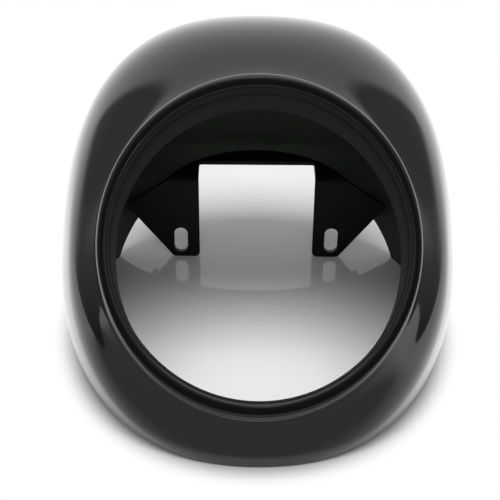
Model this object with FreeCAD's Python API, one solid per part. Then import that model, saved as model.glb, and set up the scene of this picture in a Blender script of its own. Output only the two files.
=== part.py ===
import FreeCAD
import Part
import math
import os

os.makedirs("parts", exist_ok=True)
V = FreeCAD.Vector

# Motorcycle headlight fairing: a moulded shell with a raised ring round the headlight opening,
# and a bent sheet-steel bracket screwed inside it.
# Millimetres. The part lies on its rear rim: +X right, +Y away from the headlight opening, +Z up.

# Headlight opening and the frame of the ring
opening_half_width = 76.0
oval_ratio = 1.04
axis_lift_deg = 44.0
ring_centre_height = 97.0

# Walls and the ring's inner edge
shell_wall = 3.0
collar_wall = 3.6
collar_depth = 10.0
ring_crest = -6.0
lip_step_width = 1.6
lip_step_depth = -0.8

# Outer sections of the shell, front to rear. Depth is measured along the ring axis from the
# plane of the opening's edge. The next three are how far the section reaches past that edge
# at the sides, above and below. The last is the squareness of the upper half.
outer_sections = [
    (ring_crest, 5.6, 5.9, 5.9, 2.0),
    (ring_crest + 0.9, 8.0, 8.4, 8.4, 2.0),
    (ring_crest + 3.3, 9.5, 9.9, 9.9, 2.0),
    (1.0, 10.1, 10.5, 10.5, 2.0),
    (5.0, 10.4, 10.8, 10.8, 2.0),
    (8.6, 10.8, 11.4, 11.3, 2.0),
    (10.8, 11.5, 12.4, 12.1, 2.0),
    (12.4, 12.7, 14.5, 13.9, 2.02),
    (14.5, 14.9, 18.9, 17.7, 2.08),
    (20.0, 19.7, 31.0, 27.5, 2.22),
    (32.0, 25.2, 47.0, 35.0, 2.5),
    (48.0, 29.5, 58.3, 37.5, 2.6),
    (66.0, 32.5, 64.0, 38.0, 2.6),
    (90.0, 33.5, 60.8, 38.0, 2.5),
    (115.0, 31.0, 47.0, 36.0, 2.25),
    (138.0, 25.0, 25.0, 32.0, 2.02),
    (160.0, 16.5, -4.5, 25.0, 2.0),
    (174.0, 10.0, -25.0, 19.0, 2.0),
]
lower_squareness = 2.1
section_points = 32

# Bracket
sheet = 2.5
bend_inner = 1.5
plate_y = 128.6
flange_top = 58.8
flange_half_width = 51.0
flange_reach = 28.8
slot_spacing = 94.4
slot_width = 8.4
slot_length = 18.0
slot_foot = 3.4
leg_inside_slot = 11.6
leg_past_slot = 4.6
leg_corner_round = 3.2
notch_past_plate = 18.6
notch_corner_round = 1.6
wing_past_lug = 13.0
wing_corner_z = 37.6
wing_corner_round = 3.0
bracket_clearance = 0.6

# Rear arch: a plane that leans back from the floor and passes behind the bracket
arch_lean_deg = 55.0
arch_behind_plate = 39.0
arch_below_flange = 2.3

# Lugs behind the wings, and the bosses and screws that hold them
boss_reach = 13.0
boss_half = 5.4
lug_low = 21.6
lug_height = 17.4
lug_top_fall = 5.0
lug_past_screw = 7.6
lug_corner_round = 4.0
weld_leg = 1.8
weld_end_gap = 1.0
screw_behind_plate = 9.0
screw_above_foot = 7.0
insert_radius = 3.3
insert_length = 7.0
insert_fit = 0.03
insert_recess = 0.2
insert_hole_spare = 1.0
thread_radius = 2.5
thread_fit = 0.05
hole_fit = 0.25
washer_fit = 0.15
washer_radius = 5.0
washer_thick = 1.0
head_radius = 4.7
head_height = 2.7
screw_length = 10.0
key_across_flats = 3.0
key_depth = 1.6

# Sizes that follow from those above
opening_half_height = opening_half_width * oval_ratio
mouth_half = opening_half_width + lip_step_width
mouth_round = 0.97 * (outer_sections[0][1] - lip_step_width)
bend_gap = sheet + bend_inner
bend_y = plate_y + bend_gap
bend_z = flange_top - bend_gap
plate_back = plate_y + sheet
half_notch = slot_spacing / 2.0 - leg_inside_slot
leg_outer = slot_spacing / 2.0 + leg_past_slot
slot_straight = slot_length - slot_width
slot_low = slot_foot + slot_width / 2.0
arch_top_y = plate_y + arch_behind_plate
arch_top_z = flange_top - arch_below_flange
flange_round = (flange_half_width ** 2 + flange_reach ** 2) / (2.0 * flange_reach)
lug_top = lug_low + lug_height
lug_reach = screw_behind_plate + lug_past_screw
screw_y = plate_back + screw_behind_plate
screw_z = lug_low + screw_above_foot
along_x = V(1, 0, 0)
along_y = V(0, 1, 0)
along_z = V(0, 0, 1)


def section(depth, half_width, top, bottom, squareness):
    # closed oval in a plane across the ring axis
    ease = min(1.0, max(0.0, (depth - 8.0) / 20.0))
    below = 2.0 + (lower_squareness - 2.0) * ease
    pts = []
    for i in range(section_points):
        ang = 2.0 * math.pi * i / section_points
        s = abs(math.sin(ang))
        c = math.cos(ang)
        n = squareness if c >= 0 else below
        reach = top if c >= 0 else bottom
        r = ((s / half_width) ** n + (abs(c) / reach) ** n) ** (-1.0 / n)
        pts.append(V(r * math.sin(ang), r * c, -depth))
    curve = Part.BSplineCurve()
    marks = [float(i) / section_points for i in range(section_points + 1)]
    curve.interpolate(Points=pts, PeriodicFlag=True, Parameters=marks)
    return Part.Wire([curve.toShape()])


def outer_rows():
    # sections as sizes from the ring axis
    rows = []
    for depth, side, above, below, squareness in outer_sections:
        half_width = opening_half_width + side
        rows.append((depth, half_width, opening_half_height + above, opening_half_height + below, squareness))
    return rows


def inset_rows(inset):
    # the same sections moved inward by an even wall, closed a little way inside the ring
    full = outer_rows()
    rows = []
    for i, row in enumerate(full):
        if row[0] < 0.0:
            continue
        lo = full[i - 1]
        hi = full[min(i + 1, len(full) - 1)]
        sizes = []
        for k in (1, 2, 3):
            grade = min(2.4, abs((hi[k] - lo[k]) / (hi[0] - lo[0])))
            sizes.append(row[k] - inset * math.sqrt(1.0 + grade * grade))
        rows.append((row[0], sizes[0], sizes[1], sizes[2], row[4]))
    front = rows[0]
    taper = 0.4 * inset
    rows.insert(0, (ring_crest + inset, front[1] - taper, front[2] - taper, front[3] - taper, 2.0))
    return rows


def loft(rows):
    return Part.makeLoft([section(*r) for r in rows], True, False)


def oval_prism(half_width, from_depth, to_depth):
    ring = section(from_depth, half_width, half_width * oval_ratio, half_width * oval_ratio, 2.0)
    return Part.Face(ring).extrude(V(0, 0, from_depth - to_depth))


def place(shape):
    # ring frame into the resting frame
    out = shape.copy()
    out.rotate(V(0, 0, 0), along_x, 90.0 - axis_lift_deg)
    out.translate(V(0, 0, ring_centre_height))
    return out


def edges_at(shape, direction, test):
    # straight edges along a direction whose middle passes a test
    found = []
    for e in shape.Edges:
        if not isinstance(e.Curve, Part.Line):
            continue
        along = e.Vertexes[1].Point.sub(e.Vertexes[0].Point)
        if along.Length < 1e-6:
            continue
        if abs(abs(along.normalize().dot(direction)) - 1.0) > 1e-6:
            continue
        if test(e.CenterOfMass):
            found.append(e)
    return found


def near(value, target):
    return abs(value - target) < 1e-3


# Shell: outer skin, hollow, and the collar round the opening
hollow = loft(outer_rows()).cut(loft(inset_rows(shell_wall)))
hollow = hollow.fuse(oval_prism(opening_half_width + collar_wall, ring_crest + 1.0, collar_depth))
hollow = hollow.cut(oval_prism(opening_half_width, ring_crest - 30.0, collar_depth + 50.0))
hollow = hollow.cut(oval_prism(mouth_half, ring_crest - 30.0, lip_step_depth))
crest_edges = []
for e in hollow.Edges:
    box = e.BoundBox
    flat = near(box.ZMin, -ring_crest) and near(box.ZMax, -ring_crest)
    if flat and abs(box.XMax - mouth_half) < 0.2:
        crest_edges.append(e)
shell = place(hollow.makeFillet(mouth_round, crest_edges))

# Where the middle of the side wall is at the screw, and the lug faces inside it
mid_wall = place(loft(inset_rows(shell_wall / 2.0)))
ray = Part.makeLine(V(0, screw_y, screw_z), V(400.0, screw_y, screw_z))
lug_face = round(ray.common(mid_wall).BoundBox.XMax - boss_reach, 1)
head_face = lug_face - sheet - washer_thick
wing_corner_x = lug_face + wing_past_lug

# Bosses for the bracket screws, run out into the side walls
for side in (1, -1):
    base = V(side * lug_face, screw_y, screw_z)
    boss = Part.makeCylinder(boss_half, 4.0 * boss_reach, base, V(side, 0, 0))
    shell = shell.fuse(boss.common(mid_wall))

# Trim at the floor and at the rear arch, then the holes for the inserts
shell = shell.cut(Part.makeBox(800, 800, 400, V(-400, -400, -400)))
behind = Part.makeBox(800, 400, 800, V(-400, 0, -400))
behind.rotate(V(0, 0, 0), along_x, arch_lean_deg - 90.0)
behind.translate(V(0, arch_top_y, arch_top_z))
shell = shell.cut(behind)
hole_depth = insert_recess + insert_length + insert_hole_spare
for side in (1, -1):
    start = V(side * (lug_face - 1.0), screw_y, screw_z)
    hole = Part.makeCylinder(insert_radius + insert_fit, hole_depth + 1.0, start, V(side, 0, 0))
    shell = shell.cut(hole)
shell = shell.removeSplitter()

# Bracket: one sheet, folded, then cut to its outline
outside_mid = V(0, bend_y - bend_gap * math.sqrt(0.5), bend_z + bend_gap * math.sqrt(0.5))
inside_mid = V(0, bend_y - bend_inner * math.sqrt(0.5), bend_z + bend_inner * math.sqrt(0.5))
under_flange = flange_top - sheet
far_y = plate_y + 60.0
fold = Part.Wire([
    Part.makeLine(V(0, plate_y, 0), V(0, plate_y, bend_z)),
    Part.Arc(V(0, plate_y, bend_z), outside_mid, V(0, bend_y, flange_top)).toShape(),
    Part.makeLine(V(0, bend_y, flange_top), V(0, far_y, flange_top)),
    Part.makeLine(V(0, far_y, flange_top), V(0, far_y, under_flange)),
    Part.makeLine(V(0, far_y, under_flange), V(0, bend_y, under_flange)),
    Part.Arc(V(0, bend_y, under_flange), inside_mid, V(0, plate_back, bend_z)).toShape(),
    Part.makeLine(V(0, plate_back, bend_z), V(0, plate_back, 0)),
    Part.makeLine(V(0, plate_back, 0), V(0, plate_y, 0)),
])
far_x = wing_corner_x + 5.0
folded = Part.Face(fold).extrude(V(2 * far_x, 0, 0))
folded.translate(V(-far_x, 0, 0))
outline = []
for side, order in ((1, 1), (-1, -1)):
    half = [
        V(side * leg_outer, plate_y, 0.0),
        V(side * wing_corner_x, plate_y, wing_corner_z),
        V(side * flange_half_width, plate_y, flange_top),
    ]
    outline.extend(half[::order])
blank = Part.Face(Part.makePolygon(outline + [outline[0]])).extrude(V(0, far_y - plate_y + 10.0, 0))
disc_at = V(0, bend_y + flange_reach - flange_round, under_flange - sheet)
disc = Part.makeCylinder(flange_round, 3 * sheet, disc_at, along_z)
upright = Part.makeBox(2 * far_x, bend_gap + sheet, flange_top + 2 * sheet, V(-far_x, plate_y - sheet, -sheet))
bracket = folded.common(blank).common(disc.fuse(upright)).removeSplitter()

# Notch between the legs, and the slots
notch_front = plate_y - 20.0
notch_back = plate_y + notch_past_plate
notch_at = V(-half_notch, notch_front, -10.0)
notch = Part.makeBox(2 * half_notch, notch_back - notch_front, flange_top + 20.0, notch_at)
corners = edges_at(notch, along_z, lambda p: near(p.y, notch_back))
bracket = bracket.cut(notch.makeFillet(notch_corner_round, corners))
for side in (1, -1):
    foot = V(side * slot_spacing / 2.0, plate_y - sheet, slot_low)
    slot = Part.makeBox(slot_width, 3 * sheet, slot_straight, foot.sub(V(slot_width / 2.0, 0, 0)))
    for rise in (0.0, slot_straight):
        end = Part.makeCylinder(slot_width / 2.0, 3 * sheet, foot.add(V(0, 0, rise)), along_y)
        slot = slot.fuse(end)
    bracket = bracket.cut(slot.removeSplitter())
feet = edges_at(bracket, along_y, lambda p: near(p.z, 0.0))
bracket = bracket.makeFillet(leg_corner_round, feet)
wing_tips = edges_at(bracket, along_y, lambda p: near(abs(p.x), wing_corner_x))
bracket = bracket.makeFillet(wing_corner_round, wing_tips)

# Lugs welded behind the wings
lug_back = plate_back + lug_reach
for side in (1, -1):
    x0 = side * lug_face
    side_view = [
        V(x0, plate_back, lug_low),
        V(x0, lug_back, lug_low),
        V(x0, lug_back, lug_top - lug_top_fall),
        V(x0, plate_back, lug_top),
    ]
    lug = Part.Face(Part.makePolygon(side_view + [side_view[0]])).extrude(V(-side * sheet, 0, 0))
    rear = edges_at(lug, along_x, lambda p: near(p.y, lug_back))
    bracket = bracket.fuse(lug.makeFillet(lug_corner_round, rear))
for side in (1, -1):
    for face, away in ((lug_face, 1.0), (lug_face - sheet, -1.0)):
        root = V(side * face, plate_back, lug_low + weld_end_gap)
        toe = root.add(V(side * away * weld_leg, 0, 0))
        top = root.add(V(0, weld_leg, 0))
        bead = Part.Face(Part.makePolygon([root, toe, top, root]))
        bracket = bracket.fuse(bead.extrude(V(0, 0, lug_height - 2 * weld_end_gap)))
bracket = bracket.removeSplitter()

# The bracket stays clear of the shell wall, and its lugs take the screws
bracket = bracket.common(place(loft(inset_rows(shell_wall + bracket_clearance))))
for side in (1, -1):
    start = V(side * (lug_face - 2 * sheet), screw_y, screw_z)
    hole = Part.makeCylinder(thread_radius + hole_fit, 3 * sheet, start, V(side, 0, 0))
    bracket = bracket.cut(hole)
bracket = bracket.removeSplitter()

# Screws, washers and threaded inserts
screws = []
washers = []
inserts = []
for side in (1, -1):
    out = V(side, 0, 0)
    seat = V(side * head_face, screw_y, screw_z)
    top = V(side * (head_face - head_height), screw_y, screw_z)
    head = Part.makeCylinder(head_radius, head_height, top, out)
    rims = [e for e in head.Edges if isinstance(e.Curve, Part.Circle)]
    head = head.makeFillet(head_height * 0.8, [e for e in rims if near(e.CenterOfMass.x, top.x)])
    points = []
    for k in range(7):
        ang = math.pi / 3.0 * k
        r = key_across_flats / math.sqrt(3.0)
        points.append(V(top.x, screw_y + r * math.cos(ang), screw_z + r * math.sin(ang)))
    key = Part.Face(Part.makePolygon(points)).extrude(V(side * key_depth, 0, 0))
    shank = Part.makeCylinder(thread_radius, screw_length, seat, out)
    screws.append(head.cut(key).fuse(shank).removeSplitter())
    ring = Part.makeCylinder(washer_radius, washer_thick, seat, out)
    ring_hole = Part.makeCylinder(thread_radius + washer_fit, 2 * washer_thick, seat, out)
    washers.append(ring.cut(ring_hole))
    mouth = V(side * (lug_face + insert_recess), screw_y, screw_z)
    sleeve = Part.makeCylinder(insert_radius, insert_length, mouth, out)
    bore = Part.makeCylinder(thread_radius + thread_fit, 2 * insert_length, mouth, out)
    inserts.append(sleeve.cut(bore))

# The origin is on the floor, under the middle of the part
reach_y = [p.y for p in shell.tessellate(0.1)[0]]
centre_shift_y = -round((min(reach_y) + max(reach_y)) / 2.0, 2)
print("centre_shift_y", centre_shift_y, "lug_face", lug_face)
nodes = {
    "fairing_shell": shell,
    "mounting_bracket": bracket,
    "bracket_screws": Part.makeCompound(screws),
    "screw_washers": Part.makeCompound(washers),
    "threaded_inserts": Part.makeCompound(inserts),
}
for name, shape in nodes.items():
    shape = shape.copy()
    shape.translate(V(0, centre_shift_y, 0))
    if len(shape.Solids) == 1:
        shape = shape.Solids[0]
    shape.exportStep("parts/" + name + ".step")
    print(name, shape.isValid(), len(shape.Solids), round(shape.Volume / 1000.0, 2))
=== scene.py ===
import math

import bmesh
import bpy
import numpy as np
from mathutils import Matrix, Vector


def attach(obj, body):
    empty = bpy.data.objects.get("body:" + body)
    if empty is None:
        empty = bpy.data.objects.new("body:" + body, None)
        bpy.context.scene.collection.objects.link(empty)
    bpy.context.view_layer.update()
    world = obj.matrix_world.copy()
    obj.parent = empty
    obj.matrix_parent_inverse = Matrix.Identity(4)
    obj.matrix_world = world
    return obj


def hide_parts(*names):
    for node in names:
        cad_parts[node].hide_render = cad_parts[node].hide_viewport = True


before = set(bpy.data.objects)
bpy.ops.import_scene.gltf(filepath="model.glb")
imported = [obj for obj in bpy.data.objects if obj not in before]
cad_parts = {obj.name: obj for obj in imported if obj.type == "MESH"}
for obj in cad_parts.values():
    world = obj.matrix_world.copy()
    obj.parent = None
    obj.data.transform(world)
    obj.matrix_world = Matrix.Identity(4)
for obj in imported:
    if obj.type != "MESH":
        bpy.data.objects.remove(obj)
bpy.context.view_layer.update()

# Sizes of the part are in millimetres until a mesh is made, and the stage is in metres
MM = 0.001

# Headlight opening and the frame of its ring
OPENING_HALF_WIDTH = 76.0
OVAL_RATIO = 1.04
AXIS_LIFT = math.radians(44.0)
RING_CENTRE = (0.0, -53.63, 97.0)

# Wall of the shell
SHELL_WALL = 3.0
INNER_GRADE_MOST = 2.4
INNER_FRONT_TAPER = 0.2 * SHELL_WALL

# Ring: a rolled bead as (width, depth) outside and inside its crest
RING_CREST = -6.0
BEAD_MIDDLE = 2.9
BEAD_OUTER = (2.8, 2.8)
BEAD_INNER = (2.7, 3.2)
BEAD_STEPS = 28
BEAD_TALL = 1.5
# inner steps of the bead that take the collar's satin finish and its painted shade
BEAD_SATIN_PAINTED_SHADE_STEPS = 8

# Step from the ring's inner edge to the collar, and the collar
LIP_STEP_WIDTH = 0.5
LIP_STEP_DEPTH = 4.4
EDGE_BREAK = 0.35
EDGE_ROUND = 0.3 * EDGE_BREAK
COLLAR_WALL = 2.6
COLLAR_DEPTH = 30.0
COLLAR_TAPER = 1.0
COLLAR_ROOT = RING_CREST + SHELL_WALL + 2.0
COLLAR_BACK_ROWS = 2

# Outer sections, front to rear: depth along the ring axis, reach past the opening's edge
# at the sides, above and below, and the squareness of the upper half
OUTER_SECTIONS = [
    (RING_CREST + BEAD_OUTER[1], 5.7, 8.55, 8.55, 2.0),
    (1.0, 5.8, 8.65, 8.65, 2.0),
    (5.0, 6.0, 8.85, 8.85, 2.0),
    (6.8, 6.08, 8.97, 8.92, 2.0),
    (8.2, 6.15, 9.1, 9.0, 2.0),
    (9.0, 6.7, 9.8, 9.6, 2.0),
    (9.8, 7.7, 11.1, 10.7, 2.0),
    (11.0, 9.17, 13.05, 12.36, 2.0),
    (12.4, 10.85, 15.3, 14.3, 2.02),
    (14.5, 13.4, 19.3, 17.9, 2.08),
    (20.0, 19.7, 31.0, 27.5, 2.22),
    (32.0, 25.2, 47.0, 35.0, 2.5),
    (48.0, 29.5, 58.3, 37.5, 2.6),
    (66.0, 32.5, 64.0, 38.0, 2.6),
    (90.0, 33.5, 60.8, 38.0, 2.5),
    (115.0, 31.0, 47.0, 36.0, 2.25),
    (138.0, 25.0, 25.0, 32.0, 2.02),
    (160.0, 16.5, -4.5, 25.0, 2.0),
    (174.0, 10.0, -25.0, 19.0, 2.0),
]
SECTION_VALUES = 5
ROUND = 2.0
LOWER_SQUARENESS = 2.1
LOWER_SQUARE_FROM = 8.0
LOWER_SQUARE_OVER = 20.0

# Density and smoothness of the shell's mesh
RING_POINTS = 240
OUTER_SPACING = 2.0
INNER_SPACING = 3.2
LEAST_ROWS = 3
WAVE_LIMIT = 13.0
WAVE_FALL = 4
SHARP_ANGLE = math.radians(38.0)
CUT_TOLERANCE = 1e-7

# Rear arch plane
ARCH_LEAN = math.radians(55.0)
ARCH_TOP = (0.0, 113.97, 56.5)

# Bosses behind the bracket's lugs
LUG_FACE = 67.0
SCREW_Y = 86.47
SCREW_Z = 28.6
BOSS_RADIUS = 5.4
BOSS_POINTS = 48
BOSS_SINK = 0.65 * SHELL_WALL
INSERT_HOLE_RADIUS = 3.33
INSERT_HOLE_DEPTH = 8.2

# Weld ripples where the bracket's lugs meet its wings
WELD_SIDES = (67.5, 64.0)
WELD_Y = 77.97
WELD_Z = (23.0, 37.2)
RIPPLE_SPACING = 0.8
RIPPLE_RADIUS = 0.95
RIPPLE_THICKNESS = 0.7
RIPPLE_SCALE = (0.9, 1.08)
RIPPLE_SEED = 11

# Material slots of the shell
GLOSS, INSIDE, COLLAR = range(3)

# Refractive index of the moulding and of the bracket's coat
PLASTIC_IOR = 1.5

# Floor: the half sizes of the shaded zone are across, in front and behind
FLOOR_HALF = 3.0
FLOOR_COLOUR = (0.88, 0.875, 0.88, 1.0)
FLOOR_ROUGHNESS = 0.015
FLOOR_IOR = 1.49
FLOOR_MIDDLE = 0.010
FLOOR_SHADED = (0.1052, 0.1245, 0.200)
FLOOR_FADE = (1.0, 1.13)
FLOOR_DIM = (-0.13, 0.06)
FLOOR_DIM_LEVEL = 0.3
FLOOR_DIM_SIDEWAYS = 0.55
FLOOR_DIM_LEAN = 0.018

# Room: levels of white by direction, and the ranges over which they change
ROOM_FRONT = 0.05
ROOM_SIDE = 0.27
ROOM_SIDE_SOFT = (-0.6, 0.1)
ROOM_WALL = 1.0
ROOM_WALL_TOP = (0.1, 0.4)
ROOM_WALL_SOFT = (0.0, 0.35)
ROOM_BACK = 1.08
ROOM_TOP_DROP = 0.36
ROOM_EDGE = math.radians(56.0)
ROOM_EDGE_SOFT = (0.03, 0.13)
ROOM_OVERHEAD = 0.12
ROOM_FORWARD = 0.25
ROOM_SOFT = 0.30

# Lamps: power, place, target and size
LAMP_TOP = (9.2, (0.0, -0.11, 1.0), (0.0, -0.11, 0.0), (0.9, 0.44))
LAMP_FRONT = (4.0, (0.0, -1.2, 1.0), (0.0, 0.0, 0.06), (1.0, 1.0))

# Camera: looks down at the ring from in front, a little to one side and slightly rolled
VIEW_DOWN = math.radians(34.0)
VIEW_TURN = math.radians(-1.0)
VIEW_ROLL = math.radians(0.9)
VIEW_DISTANCE = 600.0
VIEW_CLIP = (0.01, 50.0)
SENSOR_WIDTH = 36.0
PICTURE_PIXELS = 500.0
FOCAL_PIXELS = 1196.05
SHIFT_PIXELS = (-9.6, -7.0)


def link(made):
    bpy.context.scene.collection.objects.link(made)
    return made


def spline_through(marks, values, at):
    # smooth curve through the values, free at both ends
    marks = np.asarray(marks, float)
    values = np.asarray(values, float)
    n = len(marks)
    gap = np.diff(marks)
    rise = np.diff(values) / gap
    system = np.zeros((n, n))
    right = np.zeros(n)
    system[0, 0] = system[-1, -1] = 1.0
    for i in range(1, n - 1):
        system[i, i - 1] = gap[i - 1]
        system[i, i] = 2.0 * (gap[i - 1] + gap[i])
        system[i, i + 1] = gap[i]
        right[i] = 6.0 * (rise[i] - rise[i - 1])
    bend = np.linalg.solve(system, right)
    k = np.clip(np.searchsorted(marks, at) - 1, 0, n - 2)
    step = np.asarray(at) - marks[k]
    first = rise[k] - gap[k] * (2.0 * bend[k] + bend[k + 1]) / 6.0
    third = (bend[k + 1] - bend[k]) / (6.0 * gap[k])
    return values[k] + step * (first + step * (bend[k] / 2.0 + step * third))


def outer_rows():
    # depth, half width, top, bottom and squareness of each outer section
    rows = []
    high = OPENING_HALF_WIDTH * OVAL_RATIO
    for depth, side, above, below, squareness in OUTER_SECTIONS:
        rows.append((depth, OPENING_HALF_WIDTH + side, high + above, high + below, squareness))
    return rows


def inner_rows():
    # the outer sections behind the ring, set in by the wall
    full = outer_rows()
    rows = []
    for i, row in enumerate(full):
        if row[0] < 0.0:
            continue
        before = full[i - 1]
        after = full[min(i + 1, len(full) - 1)]
        sizes = []
        for k in (1, 2, 3):
            grade = abs((after[k] - before[k]) / (after[0] - before[0]))
            grade = min(INNER_GRADE_MOST, grade)
            sizes.append(row[k] - SHELL_WALL * math.sqrt(1.0 + grade * grade))
        rows.append((row[0], *sizes, row[4]))
    front = [size - INNER_FRONT_TAPER for size in rows[0][1:4]]
    rows.insert(0, (RING_CREST + SHELL_WALL, *front, ROUND))
    return rows


def fine_rows(rows, spacing):
    # the same sections with many more between them
    table = np.array(rows)
    chord = np.hypot(np.diff(table[:, 0]), np.diff(table[:, 2]))
    marks = np.concatenate([[0.0], np.cumsum(chord)])
    at = [0.0]
    for i, length in enumerate(chord):
        count = max(LEAST_ROWS, math.ceil(length / spacing))
        at.extend(marks[i] + length * (j + 1) / count for j in range(count))
    at = np.array(at)
    columns = [spline_through(marks, table[:, k], at) for k in range(SECTION_VALUES)]
    return np.stack(columns, axis=1)


def ring_turns():
    return np.arange(RING_POINTS) * 2.0 * np.pi / RING_POINTS


def section_reach(depth, half_width, top, bottom, squareness):
    # distance from the ring axis all round one section, with its finest ripple removed
    turn = ring_turns()
    s = np.abs(np.sin(turn))
    c = np.cos(turn)
    ease = min(1.0, max(0.0, (depth - LOWER_SQUARE_FROM) / LOWER_SQUARE_OVER))
    below = ROUND + (LOWER_SQUARENESS - ROUND) * ease
    n = np.where(c >= 0.0, max(ROUND, squareness), below)
    reach = np.where(c >= 0.0, top, bottom)
    r = ((s / half_width) ** n + (np.abs(c) / reach) ** n) ** (-1.0 / n)
    waves = np.fft.rfft(r)
    waves *= np.exp(-(np.arange(len(waves)) / WAVE_LIMIT) ** WAVE_FALL)
    return np.fft.irfft(waves, RING_POINTS)


def to_rest(x, u, depth):
    # ring frame into the resting frame, in metres
    y = RING_CENTRE[1] + u * math.sin(AXIS_LIFT) + depth * math.cos(AXIS_LIFT)
    z = RING_CENTRE[2] + u * math.cos(AXIS_LIFT) - depth * math.sin(AXIS_LIFT)
    return np.stack([x * MM, y * MM, z * MM], axis=-1)


def ring_of_points(row):
    r = section_reach(*[float(value) for value in row])
    turn = ring_turns()
    depth = np.full(RING_POINTS, float(row[0]))
    return to_rest(r * np.sin(turn), r * np.cos(turn), depth)


def oval(depth, half_width):
    high = half_width * OVAL_RATIO
    return (depth, half_width, high, high, ROUND)


def mouth_rows():
    # from the ring over its rounded bead to the lip, the collar and the collar's back
    rows = []
    for k in range(1, BEAD_STEPS + 1):
        ang = math.pi * (0.5 - k / BEAD_STEPS)
        wide, deep = BEAD_OUTER if ang > 0.0 else BEAD_INNER
        past = BEAD_MIDDLE + wide * math.sin(ang)
        depth = RING_CREST + deep * (1.0 - math.cos(ang))
        high = OPENING_HALF_WIDTH * OVAL_RATIO + past * BEAD_TALL
        rows.append((depth, OPENING_HALF_WIDTH + past, high, high, ROUND))
    lip = OPENING_HALF_WIDTH - LIP_STEP_WIDTH
    end = OPENING_HALF_WIDTH - COLLAR_TAPER
    places = [
        (LIP_STEP_DEPTH - EDGE_BREAK, OPENING_HALF_WIDTH),
        (LIP_STEP_DEPTH, OPENING_HALF_WIDTH - EDGE_ROUND),
        (LIP_STEP_DEPTH + EDGE_ROUND, lip + EDGE_ROUND),
        (LIP_STEP_DEPTH + EDGE_BREAK, lip),
        (COLLAR_DEPTH * 0.5, 0.5 * (lip + end)),
        (COLLAR_DEPTH - EDGE_BREAK, end),
        (COLLAR_DEPTH, end + EDGE_BREAK),
        (COLLAR_DEPTH, end + COLLAR_WALL),
        (COLLAR_ROOT, end + COLLAR_WALL),
    ]
    return rows + [oval(*place) for place in places]


def finish_mesh(bm, name):
    bmesh.ops.recalc_face_normals(bm, faces=bm.faces[:])
    mesh = bpy.data.meshes.new(name)
    bm.to_mesh(mesh)
    bm.free()
    mesh.shade_smooth()
    mesh.set_sharp_from_angle(angle=SHARP_ANGLE)
    return link(bpy.data.objects.new(name, mesh))


def bridge(bm, here, after):
    # a band of faces between two closed loops, in order
    count = len(here)
    band = []
    for j in range(count):
        k = (j + 1) % count
        band.append(bm.faces.new((here[j], here[k], after[k], after[j])))
    return band


def cut_and_cap(bm, point, normal):
    # remove what lies past a plane and close the wall there
    geom = bm.verts[:] + bm.edges[:] + bm.faces[:]
    bmesh.ops.bisect_plane(bm, geom=geom, dist=CUT_TOLERANCE, plane_co=point,
                           plane_no=normal, clear_outer=True)
    rim = [edge for edge in bm.edges if edge.is_boundary]
    made = bmesh.ops.triangle_fill(bm, use_beauty=True, edges=rim, normal=normal)
    for item in made["geom"]:
        if isinstance(item, bmesh.types.BMFace):
            item.material_index = GLOSS


def build_shell():
    # closed loops from the rear edge over the outside, the ring and the collar to the inside
    outer = list(fine_rows(outer_rows(), OUTER_SPACING)[::-1])
    inner = list(fine_rows(inner_rows(), INNER_SPACING))
    mouth = mouth_rows()
    collar_from = len(outer) + BEAD_STEPS - BEAD_SATIN_PAINTED_SHADE_STEPS
    inside_from = len(outer) + len(mouth) - COLLAR_BACK_ROWS
    bm = bmesh.new()
    loops = []
    for row in outer + mouth + inner:
        loops.append([bm.verts.new(place) for place in ring_of_points(row)])
    for i, here in enumerate(loops):
        slot = GLOSS if i < collar_from else COLLAR if i < inside_from else INSIDE
        for face in bridge(bm, here, loops[(i + 1) % len(loops)]):
            face.material_index = slot
    lean = Vector((0.0, math.sin(ARCH_LEAN), -math.cos(ARCH_LEAN)))
    cut_and_cap(bm, Vector(ARCH_TOP) * MM, lean)
    cut_and_cap(bm, Vector((0.0, 0.0, 0.0)), Vector((0.0, 0.0, -1.0)))
    return finish_mesh(bm, "gloss_shell")


def wall_side(y, z):
    # how far out the middle of the side wall is at a place inside the shell
    up = z - RING_CENTRE[2]
    back = y - RING_CENTRE[1]
    u = back * math.sin(AXIS_LIFT) + up * math.cos(AXIS_LIFT)
    depth = back * math.cos(AXIS_LIFT) - up * math.sin(AXIS_LIFT)
    table = np.array(outer_rows())
    sizes = [np.interp(depth, table[:, 0], table[:, k]) for k in range(1, SECTION_VALUES)]
    half_width, top, bottom, squareness = sizes
    reach = top if u >= 0.0 else bottom
    share = (1.0 - (abs(u) / reach) ** squareness) ** (1.0 / squareness)
    return half_width * share - BOSS_SINK


def build_bosses():
    # a round post on each side wall with a blind hole for its insert
    bm = bmesh.new()
    turns = [2.0 * math.pi * k / BOSS_POINTS for k in range(BOSS_POINTS)]

    def circle(radius, x=None, side=None):
        # at one x, or without it on the side wall
        loop = []
        for turn in turns:
            y = SCREW_Y + radius * math.cos(turn)
            z = SCREW_Z + radius * math.sin(turn)
            at = side * wall_side(y, z) if x is None else x
            loop.append(bm.verts.new(Vector((at, y, z)) * MM))
        return loop

    for side in (1.0, -1.0):
        face = side * LUG_FACE
        loops = [
            circle(BOSS_RADIUS, side=side),
            circle(BOSS_RADIUS, face + side * EDGE_BREAK),
            circle(BOSS_RADIUS - EDGE_BREAK, face),
            circle(INSERT_HOLE_RADIUS, face),
            circle(INSERT_HOLE_RADIUS, side * (LUG_FACE + INSERT_HOLE_DEPTH)),
        ]
        for here, after in zip(loops, loops[1:]):
            bridge(bm, here, after)
        bm.faces.new(loops[0])
        bm.faces.new(loops[-1])
    return finish_mesh(bm, "insert_bosses")


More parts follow.
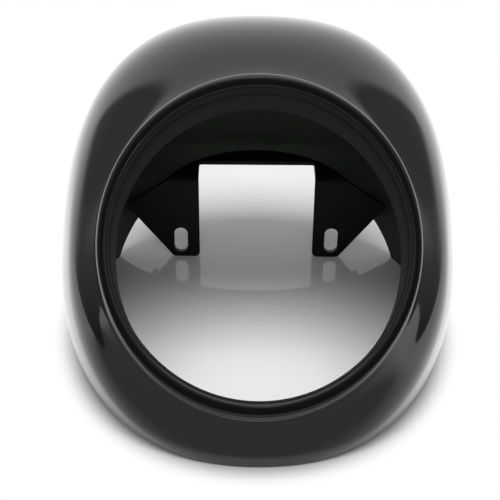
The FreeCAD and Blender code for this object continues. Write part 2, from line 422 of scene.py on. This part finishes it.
class Value:
    # a shader socket that can be used in sums
    def __init__(self, finish, socket):
        self.finish = finish
        self.socket = socket

    def __add__(self, other):
        return self.finish.math("ADD", self, other)

    def __sub__(self, other):
        return self.finish.math("SUBTRACT", self, other)

    def __rsub__(self, other):
        return self.finish.math("SUBTRACT", other, self)

    def __mul__(self, other):
        return self.finish.math("MULTIPLY", self, other)

    def __pow__(self, other):
        return self.finish.math("POWER", self, other)

    __radd__ = __add__
    __rmul__ = __mul__


class Finish:
    # one material or world, built node by node
    def __init__(self, owner):
        self.owner = owner
        self.owner.use_nodes = True
        self.tree = self.owner.node_tree
        self.tree.nodes.clear()

    def node(self, kind, settings=None, sockets=None, out=0):
        made = self.tree.nodes.new(kind)
        for key, value in (settings or {}).items():
            setattr(made, key, value)
        for key, value in (sockets or {}).items():
            if isinstance(value, Value):
                self.tree.links.new(value.socket, made.inputs[key])
            else:
                made.inputs[key].default_value = value
        return Value(self, made.outputs[out])

    def math(self, operation, *terms):
        return self.node("ShaderNodeMath", {"operation": operation}, dict(enumerate(terms)))

    def place(self, kind="Object"):
        return self.node("ShaderNodeTexCoord", out=kind)

    def axis(self, vector, name):
        return self.node("ShaderNodeSeparateXYZ", {}, {0: vector}, out=name)

    def ray(self, kind):
        return self.node("ShaderNodeLightPath", out=kind)

    def smooth(self, value, ends, low=0.0, high=1.0):
        # from low to high while the value goes from one end to the other
        return self.node("ShaderNodeMapRange", {"interpolation_type": "SMOOTHSTEP"}, {
            "Value": value, "From Min": ends[0], "From Max": ends[1],
            "To Min": low, "To Max": high})

    def noise(self, scale, detail, rough=0.55, along=None):
        return self.node("ShaderNodeTexNoise", {}, {
            "Vector": along or self.place(), "Scale": scale, "Detail": detail,
            "Roughness": rough})

    def ramp(self, value, stops):
        made = self.node("ShaderNodeValToRGB", {}, {0: value})
        elements = made.socket.node.color_ramp.elements
        while len(elements) < len(stops):
            elements.new(1.0)
        for element, (at, shade) in zip(elements, stops):
            element.position = at
            element.color = (shade, shade, shade, 1.0)
        return made

    def blend(self, share, low, high):
        # colour sockets of the mix node are 6 and 7, and its colour comes out at 2
        colours = {0: share, 6: (*low, 1.0), 7: (*high, 1.0)}
        return self.node("ShaderNodeMix", {"data_type": "RGBA"}, colours, out=2)

    def bump(self, height, distance):
        return self.node("ShaderNodeBump", {}, {
            "Height": height, "Distance": distance, "Strength": 1.0})

    def surface(self, **sockets):
        named = {key.replace("_", " "): value for key, value in sockets.items()}
        return self.end(self.node("ShaderNodeBsdfPrincipled", {}, named))

    def end(self, shader):
        world = isinstance(self.owner, bpy.types.World)
        kind = "ShaderNodeOutputWorld" if world else "ShaderNodeOutputMaterial"
        self.tree.links.new(shader.socket, self.tree.nodes.new(kind).inputs["Surface"])
        return self.owner


def new_finish(name):
    return Finish(bpy.data.materials.new(name))


def gloss_black():
    # moulded shell, polished outside: faint waviness, fine haze and a few hairlines
    f = new_finish("gloss_black")
    wave = f.noise(scale=38.0, detail=1.0)
    haze = f.noise(scale=240.0, detail=4.0)
    drawn_out = f.node("ShaderNodeMapping", {}, {
        "Vector": f.place(), "Rotation": (0.4, 0.9, 0.3), "Scale": (30.0, 900.0, 900.0)})
    streaks = f.noise(scale=1.0, detail=2.0, rough=0.5, along=drawn_out)
    hair = f.ramp(streaks, [(0.0, 0.0), (0.70, 0.0), (0.78, 1.0)])
    return f.surface(
        Base_Color=f.blend(haze, (0.0012, 0.0013, 0.0012), (0.0026, 0.0027, 0.0026)),
        Roughness=0.05 + haze * 0.03 + hair * 0.06,
        IOR=PLASTIC_IOR,
        Coat_Weight=1.0,
        Coat_Roughness=0.02,
        Normal=f.bump(wave, distance=0.00003),
    )


def moulded_black(name, low, high, sheen):
    # a face straight from the mould, a little green; the same plastic is painted darker on the
    # collar, where the lamps light it, and lighter deep inside, where little light reaches:
    # painted shade on the collar and painted light inside
    f = new_finish(name)
    green = 1.17
    grain = f.noise(scale=900.0, detail=3.0)
    cloud = f.noise(scale=30.0, detail=3.0)
    return f.surface(
        Base_Color=f.blend(cloud, (low, low * green, low), (high, high * green, high)),
        Roughness=0.58 + cloud * 0.12,
        IOR=PLASTIC_IOR,
        Specular_IOR_Level=sheen,
        Normal=f.bump(grain, distance=0.00002),
    )


def powder_coat():
    # satin black coat with a fine orange peel
    f = new_finish("powder_coat")
    peel = f.noise(scale=1400.0, detail=2.0)
    cloud = f.noise(scale=60.0, detail=3.0)
    return f.surface(
        Base_Color=f.blend(cloud, (0.0034, 0.0042, 0.0034), (0.0054, 0.0063, 0.0054)),
        Roughness=0.44 + cloud * 0.12,
        IOR=PLASTIC_IOR,
        Specular_IOR_Level=0.25,
        Normal=f.bump(peel, distance=0.00004),
    )


def plated_steel(name, tone):
    # bright zinc, slightly blue and cloudy
    f = new_finish(name)
    cloud = f.noise(scale=500.0, detail=4.0)
    grain = f.noise(scale=4000.0, detail=2.0)
    dark = (tone * 0.8, tone * 0.8, tone * 0.82)
    light = (tone * 1.1, tone * 1.1, tone * 1.12)
    return f.surface(
        Base_Color=f.blend(cloud, dark, light),
        Metallic=1.0,
        Roughness=0.26 + cloud * 0.16,
        Normal=f.bump(grain, distance=0.00001),
    )


def turned_brass():
    f = new_finish("turned_brass")
    cloud = f.noise(scale=700.0, detail=4.0)
    return f.surface(
        Base_Color=f.blend(cloud, (0.50, 0.34, 0.13), (0.66, 0.48, 0.21)),
        Metallic=1.0,
        Roughness=0.24 + cloud * 0.2,
    )


def dress(node, material):
    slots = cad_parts[node].data.materials
    slots.clear()
    slots.append(material)


def ripple_tree():
    # flattened beads set along every line, each a little different in size
    tree = bpy.data.node_groups.new("weld_ripples", "GeometryNodeTree")
    face = tree.interface
    face.new_socket("Lines", in_out="INPUT", socket_type="NodeSocketGeometry")
    for label in ("Spacing", "Radius", "Thickness"):
        face.new_socket(label, in_out="INPUT", socket_type="NodeSocketFloat")
    face.new_socket("Finish", in_out="INPUT", socket_type="NodeSocketMaterial")
    face.new_socket("Ripples", in_out="OUTPUT", socket_type="NodeSocketGeometry")

    def node(kind, sockets=None, settings=None):
        made = tree.nodes.new(kind)
        for key, value in (settings or {}).items():
            setattr(made, key, value)
        for key, value in (sockets or {}).items():
            if isinstance(value, bpy.types.NodeSocket):
                tree.links.new(value, made.inputs[key])
            else:
                made.inputs[key].default_value = value
        return made.outputs

    given = node("NodeGroupInput")
    paths = node("GeometryNodeMeshToCurve", {"Mesh": given["Lines"]})[0]
    spaced = node("GeometryNodeResampleCurve",
                  {"Curve": paths, "Length": given["Spacing"]}, {"mode": "LENGTH"})[0]
    ball = node("GeometryNodeMeshIcoSphere", {"Radius": 1.0, "Subdivisions": 2})[0]
    size = node("ShaderNodeCombineXYZ",
                {"X": given["Radius"], "Y": given["Radius"], "Z": given["Thickness"]})[0]
    flat = node("GeometryNodeTransform", {"Geometry": ball, "Scale": size})[0]
    # the random node's float limits are its sockets 2 and 3, and its float comes out at 1
    vary = node("FunctionNodeRandomValue",
                {2: RIPPLE_SCALE[0], 3: RIPPLE_SCALE[1], "Seed": RIPPLE_SEED},
                {"data_type": "FLOAT"})[1]
    beads = node("GeometryNodeInstanceOnPoints",
                 {"Points": spaced, "Instance": flat, "Scale": vary})[0]
    solid = node("GeometryNodeRealizeInstances", {"Geometry": beads})[0]
    smooth = node("GeometryNodeSetShadeSmooth", {"Geometry": solid})[0]
    done = node("GeometryNodeSetMaterial",
                {"Geometry": smooth, "Material": given["Finish"]})[0]
    node("NodeGroupOutput", {0: done})
    return tree


def build_welds(finish):
    # one straight line for each weld, covered with ripples
    points = []
    for side in (1.0, -1.0):
        for x in WELD_SIDES:
            points += [Vector((side * x, WELD_Y, z)) * MM for z in WELD_Z]
    lines = bpy.data.meshes.new("weld_lines")
    lines.from_pydata(points, [(k, k + 1) for k in range(0, len(points), 2)], [])
    drawn = link(bpy.data.objects.new("weld_lines", lines))
    tree = ripple_tree()
    modifier = drawn.modifiers.new("weld_ripples", "NODES")
    modifier.node_group = tree
    values = {
        "Spacing": RIPPLE_SPACING * MM,
        "Radius": RIPPLE_RADIUS * MM,
        "Thickness": RIPPLE_THICKNESS * MM,
        "Finish": finish,
    }
    for item in tree.interface.items_tree:
        if item.in_out == "INPUT" and item.name in values:
            modifier[item.identifier] = values[item.name]
    bpy.context.view_layer.update()
    seen = drawn.evaluated_get(bpy.context.evaluated_depsgraph_get())
    mesh = bpy.data.meshes.new_from_object(seen)
    drawn.modifiers.clear()
    bpy.data.objects.remove(drawn)
    mesh.name = "weld_ripples"
    return link(bpy.data.objects.new("weld_ripples", mesh))


def floor_white():
    # glossy white sheet: true light and shadow near the part, plain white further out
    f = new_finish("floor_white")
    place = f.place()
    across = f.axis(place, "X") * (1.0 / FLOOR_SHADED[0])
    along = f.axis(place, "Y") - FLOOR_MIDDLE
    before = f.math("MINIMUM", along, 0.0) * (1.0 / FLOOR_SHADED[1])
    behind = f.math("MAXIMUM", along, 0.0) * (1.0 / FLOOR_SHADED[2])
    away = (across * across + before * before + behind * behind) ** 0.5
    far = f.smooth(away, FLOOR_FADE)
    seen = f.ray("Is Camera Ray")
    shown = seen + f.ray("Is Glossy Ray") + f.ray("Is Transmission Ray")
    share = f.math("MINIMUM", shown * far, 1.0)
    sheet = f.node("ShaderNodeBsdfPrincipled", {}, {
        "Base Color": FLOOR_COLOUR, "Roughness": FLOOR_ROUGHNESS, "IOR": FLOOR_IOR})
    # mirrored rays see the white dimmed in front of the part
    sideways = f.math("ABSOLUTE", across * FLOOR_SHADED[0])
    reach = along + sideways * FLOOR_DIM_SIDEWAYS + across * FLOOR_DIM_LEAN
    beside = f.smooth(reach, FLOOR_DIM, low=FLOOR_DIM_LEVEL)
    white = seen + (1.0 - seen) * beside
    glow = f.node("ShaderNodeEmission", {}, {"Color": white, "Strength": 1.0})
    return f.end(f.node("ShaderNodeMixShader", {}, {0: share, 1: sheet, 2: glow}))


def build_floor():
    h = FLOOR_HALF
    corners = [(-h, -h, 0.0), (h, -h, 0.0), (h, h, 0.0), (-h, h, 0.0)]
    mesh = bpy.data.meshes.new("floor")
    mesh.from_pydata(corners, [], [(0, 1, 2, 3)])
    mesh.materials.append(floor_white())
    return link(bpy.data.objects.new("floor", mesh))


def white_room():
    # white to the camera; in mirrored rays white behind, overhead and low down, dark in front
    f = Finish(bpy.data.worlds.new("white_room"))
    way = f.place("Generated")
    across, back, up = [f.axis(way, name) for name in "XYZ"]
    rearward = f.math("MAXIMUM", back, back * ROOM_FORWARD)
    inside_edge = (rearward * math.sin(ROOM_EDGE)
                   - f.math("ABSOLUTE", across) * math.cos(ROOM_EDGE) + up * ROOM_OVERHEAD)
    sheet = f.smooth(inside_edge, ROOM_EDGE_SOFT)
    beside = f.smooth(back, ROOM_SIDE_SOFT)
    wall = f.smooth(up, ROOM_WALL_TOP, 1.0, 0.0) * f.smooth(back, ROOM_WALL_SOFT)
    side = ROOM_FRONT + beside * (ROOM_SIDE - ROOM_FRONT) + wall * (ROOM_WALL - ROOM_SIDE)
    level = side + sheet * (ROOM_BACK - up * up * up * ROOM_TOP_DROP - side)
    seen = f.ray("Is Camera Ray")
    mirrored = f.ray("Is Glossy Ray")
    white = seen + (1.0 - seen) * (ROOM_SOFT + mirrored * (level - ROOM_SOFT))
    return f.end(f.node("ShaderNodeBackground", {}, {"Color": white, "Strength": 1.0}))


def lamp(name, power, place, target, size):
    data = bpy.data.lights.new(name, "AREA")
    data.shape = "RECTANGLE"
    data.size, data.size_y = size
    data.energy = power
    made = link(bpy.data.objects.new(name, data))
    way = Vector(target) - Vector(place)
    turn = way.to_track_quat("-Z", "Y").to_matrix().to_4x4()
    made.matrix_world = Matrix.Translation(place) @ turn
    made.visible_glossy = False


def build_camera():
    cos_down, sin_down = math.cos(VIEW_DOWN), math.sin(VIEW_DOWN)
    cos_turn, sin_turn = math.cos(VIEW_TURN), math.sin(VIEW_TURN)
    cos_roll, sin_roll = math.cos(VIEW_ROLL), math.sin(VIEW_ROLL)
    ahead = Vector((-sin_turn * cos_down, cos_turn * cos_down, -sin_down))
    level_right = Vector((cos_turn, sin_turn, 0.0))
    level_up = Vector((-sin_turn * sin_down, cos_turn * sin_down, cos_down))
    right = level_right * cos_roll + level_up * sin_roll
    up = level_up * cos_roll - level_right * sin_roll
    eye = (Vector(RING_CENTRE) - ahead * VIEW_DISTANCE) * MM
    lens = bpy.data.cameras.new("camera")
    lens.sensor_width = SENSOR_WIDTH
    lens.lens = SENSOR_WIDTH * FOCAL_PIXELS / PICTURE_PIXELS
    lens.shift_x, lens.shift_y = [shift / PICTURE_PIXELS for shift in SHIFT_PIXELS]
    lens.clip_start, lens.clip_end = VIEW_CLIP
    camera = link(bpy.data.objects.new("camera", lens))
    turn = Matrix((right, up, -ahead)).transposed().to_4x4()
    camera.matrix_world = Matrix.Translation(eye) @ turn
    return camera


# Pieces and their finishes
shell = build_shell()
bosses = build_bosses()
# one plastic in two copies: painted light deep inside, painted shade on the collar
inside = moulded_black("inside_painted_light", low=0.030, high=0.042, sheen=0.5)
collar = moulded_black("collar_painted_shade", low=0.009, high=0.013, sheen=0.2)
for material in (gloss_black(), inside, collar):
    shell.data.materials.append(material)
bosses.data.materials.append(inside)
coat = powder_coat()
welds = build_welds(coat)
dress("mounting_bracket", coat)
dress("bracket_screws", plated_steel("zinc_screws", tone=0.50))
dress("screw_washers", plated_steel("zinc_washers", tone=0.56))
dress("threaded_inserts", turned_brass())
for piece in (shell, bosses):
    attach(piece, "root")
    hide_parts("fairing_shell")
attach(welds, "root")

# Floor, room, lamps and camera
floor = build_floor()
bpy.context.scene.world = white_room()
lamp("top_softbox", *LAMP_TOP)
lamp("front_softbox", *LAMP_FRONT)
bpy.context.scene.camera = build_camera()
bpy.context.scene.view_settings.view_transform = "Standard"
